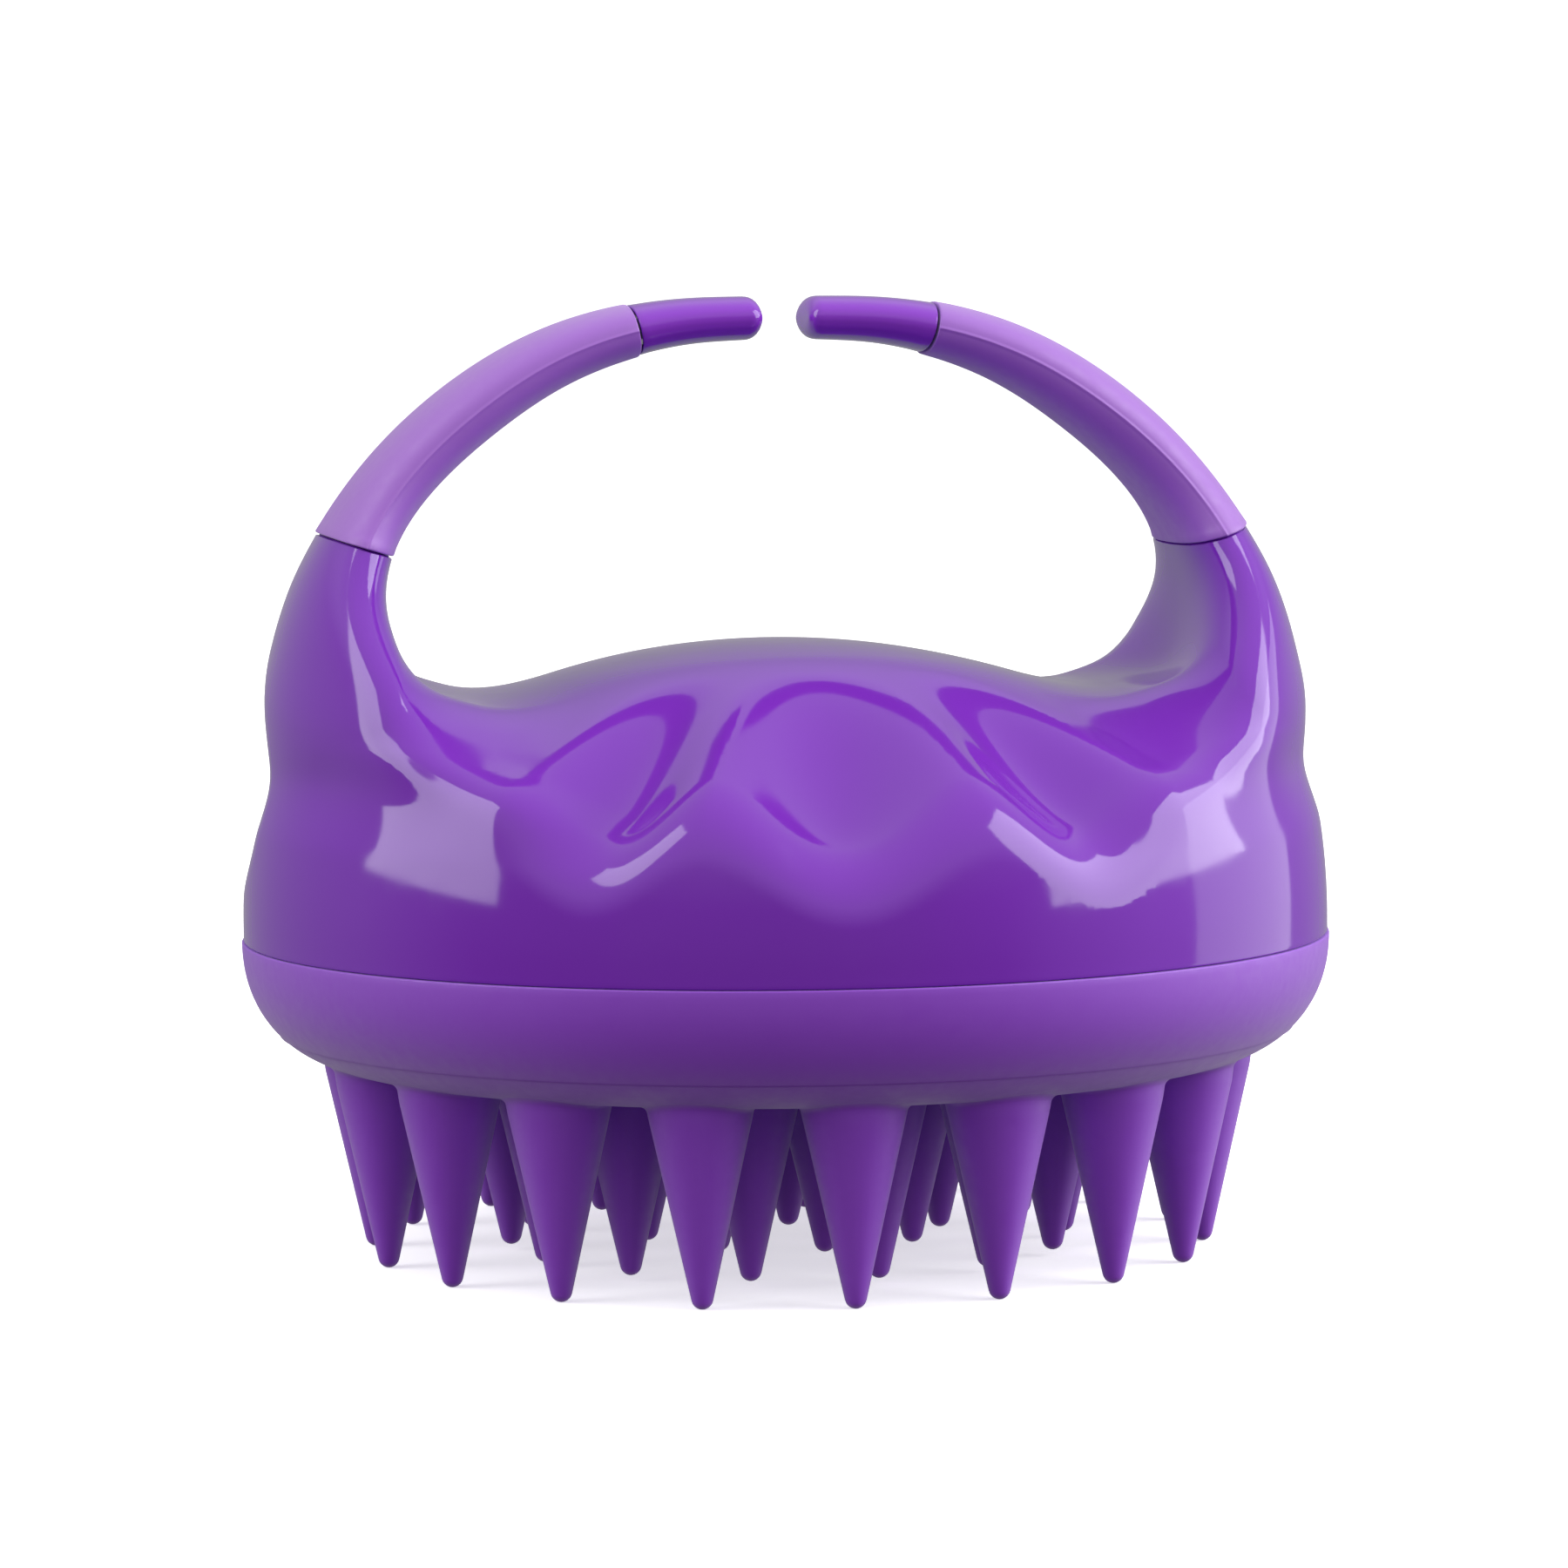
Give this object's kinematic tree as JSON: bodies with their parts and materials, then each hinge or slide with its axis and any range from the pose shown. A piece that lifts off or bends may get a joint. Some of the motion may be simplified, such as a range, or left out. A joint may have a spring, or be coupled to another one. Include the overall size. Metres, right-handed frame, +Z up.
{
  "type": "curry comb",
  "caption": "Round hand-held bathing curry comb with soft cone tines, a glossy grip shell with finger hollows, and an open finger ring of two flexible arms.",
  "frame": {"origin": "middle of the circle of outer tine tips, on the surface the comb stands on", "axes": "+Z up from the tine tips to the ring, X from arm to arm, the finger goes through the ring along Y"},
  "size_m": [0.0946, 0.0946, 0.0827],
  "materials": {
    "shell_gloss": "high gloss moulded",
    "soft_pad": "soft matte, fine satin texture",
    "inner_plastic": "natural moulded",
    "screw_steel": "plain zinc"
  },
  "bodies": {
    "comb": {"grip_shell": "shell_gloss", "tine_pad": "soft_pad", "carrier_plate": "inner_plastic", "plate_screw_1": "screw_steel", "plate_screw_2": "screw_steel", "plate_screw_3": "screw_steel", "plate_screw_4": "screw_steel"},
    "left_arm": {"left_arm_core": "inner_plastic", "left_arm_sleeve": "soft_pad", "left_arm_tip": "shell_gloss"},
    "right_arm": {"right_arm_core": "inner_plastic", "right_arm_sleeve": "soft_pad", "right_arm_tip": "shell_gloss"}
  },
  "joints": [
    {"name": "left_arm_flex", "type": "hinge", "parent": "comb", "child": "left_arm", "pos_m": [-0.0402, 0, 0.0628], "axis": [0, -1, 0], "range_deg": [-1.5, 10], "stiffness_Nm_per_rad": 0.9},
    {"name": "right_arm_flex", "type": "hinge", "parent": "comb", "child": "right_arm", "pos_m": [0.0402, 0, 0.0628], "axis": [0, 1, 0], "range_deg": [-1.5, 10], "stiffness_Nm_per_rad": 0.9}
  ]
}
